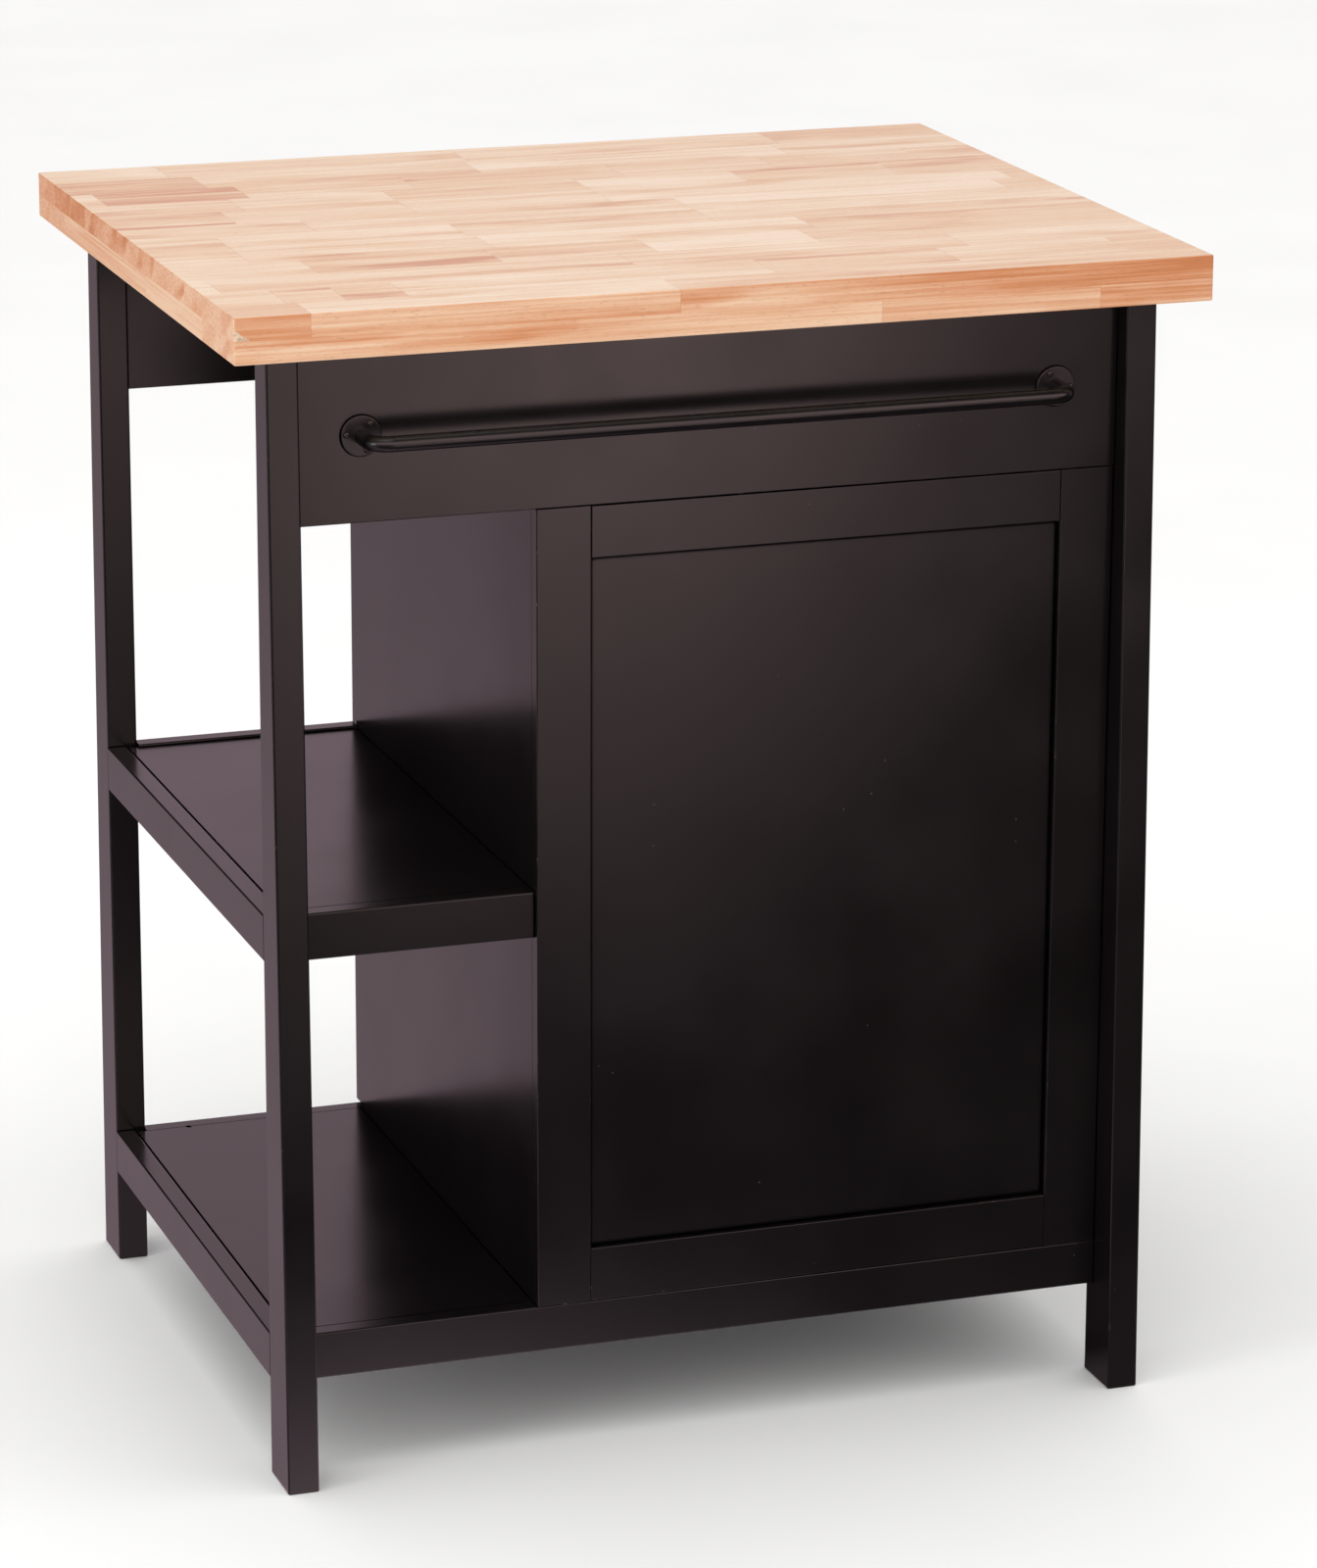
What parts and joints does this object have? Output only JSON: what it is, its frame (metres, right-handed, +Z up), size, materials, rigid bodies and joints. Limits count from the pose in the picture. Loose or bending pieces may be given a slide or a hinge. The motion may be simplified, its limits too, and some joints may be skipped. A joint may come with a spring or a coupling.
{
  "type": "butcher block table",
  "caption": "Kitchen work table with a thick wooden butcher block top on tapered legs, open side shelves, a cupboard with a hinged door and a towel bar.",
  "frame": {"origin": "on the floor, under the middle of the top", "axes": "+X along the width, open bay towards -X; -Y is the towel bar side and +Y the door side; +Z up"},
  "size_m": [0.762, 0.606, 0.9144],
  "materials": {
    "butcher_block": "oiled rubberwood staves, satin",
    "black_lacquer": "satin black lacquer on wood",
    "bare_wood": "bare planed wood",
    "black_steel": "semi-gloss black paint",
    "zinc_steel": "zinc plated",
    "catch_plastic": "moulded, matt"
  },
  "bodies": {
    "table": {"apron_back": "black_lacquer", "apron_front": "black_lacquer", "apron_right": "black_lacquer", "bottom_rail_back": "black_lacquer", "bottom_rail_front": "black_lacquer", "bottom_rail_left": "black_lacquer", "bottom_rail_right": "black_lacquer", "bottom_shelf": "black_lacquer", "catch_screws": "zinc_steel", "cleat_screws": "zinc_steel", "cleats_back": "bare_wood", "cleats_front": "bare_wood", "cupboard_shelf": "black_lacquer", "dowels_large": "bare_wood", "dowels_small": "bare_wood", "flange_left": "black_steel", "flange_right": "black_steel", "front_field": "black_lacquer", "front_rail_bottom": "black_lacquer", "front_rail_top": "black_lacquer", "front_stile_left": "black_lacquer", "front_stile_right": "black_lacquer", "hinge_leaves_leg": "zinc_steel", "hinge_pins": "zinc_steel", "hinge_screws_leg": "zinc_steel", "leg_back_left": "black_lacquer", "leg_back_right": "black_lacquer", "leg_front_left": "black_lacquer", "leg_front_right": "black_lacquer", "magnetic_catch": "catch_plastic", "mid_rail_back": "black_lacquer", "mid_rail_front": "black_lacquer", "mid_rail_left": "black_lacquer", "mid_shelf": "black_lacquer", "partition": "black_lacquer", "shelf_pins": "zinc_steel", "side_field": "black_lacquer", "side_rail_bottom": "black_lacquer", "side_rail_top": "black_lacquer", "side_stile_back": "black_lacquer", "side_stile_front": "black_lacquer", "top_batten": "bare_wood", "top_board": "butcher_block", "top_edge_back": "butcher_block", "top_edge_front": "butcher_block", "top_edge_left": "butcher_block", "top_edge_right": "butcher_block", "towel_bar": "black_steel", "towel_bar_screws": "black_steel"},
    "door": {"door_field": "black_lacquer", "door_knob": "black_steel", "door_rail_bottom": "black_lacquer", "door_rail_top": "black_lacquer", "door_stile_hinge": "black_lacquer", "door_stile_latch": "black_lacquer", "hinge_leaves_door": "zinc_steel", "hinge_screws_door": "zinc_steel", "knob_screw": "zinc_steel", "strike_plate": "zinc_steel"}
  },
  "joints": [
    {"name": "door_hinge", "type": "hinge", "parent": "table", "child": "door", "pos_m": [0.3222, 0.257, 0.4298], "axis": [0, 0, -1], "range_deg": [0, 95]}
  ]
}
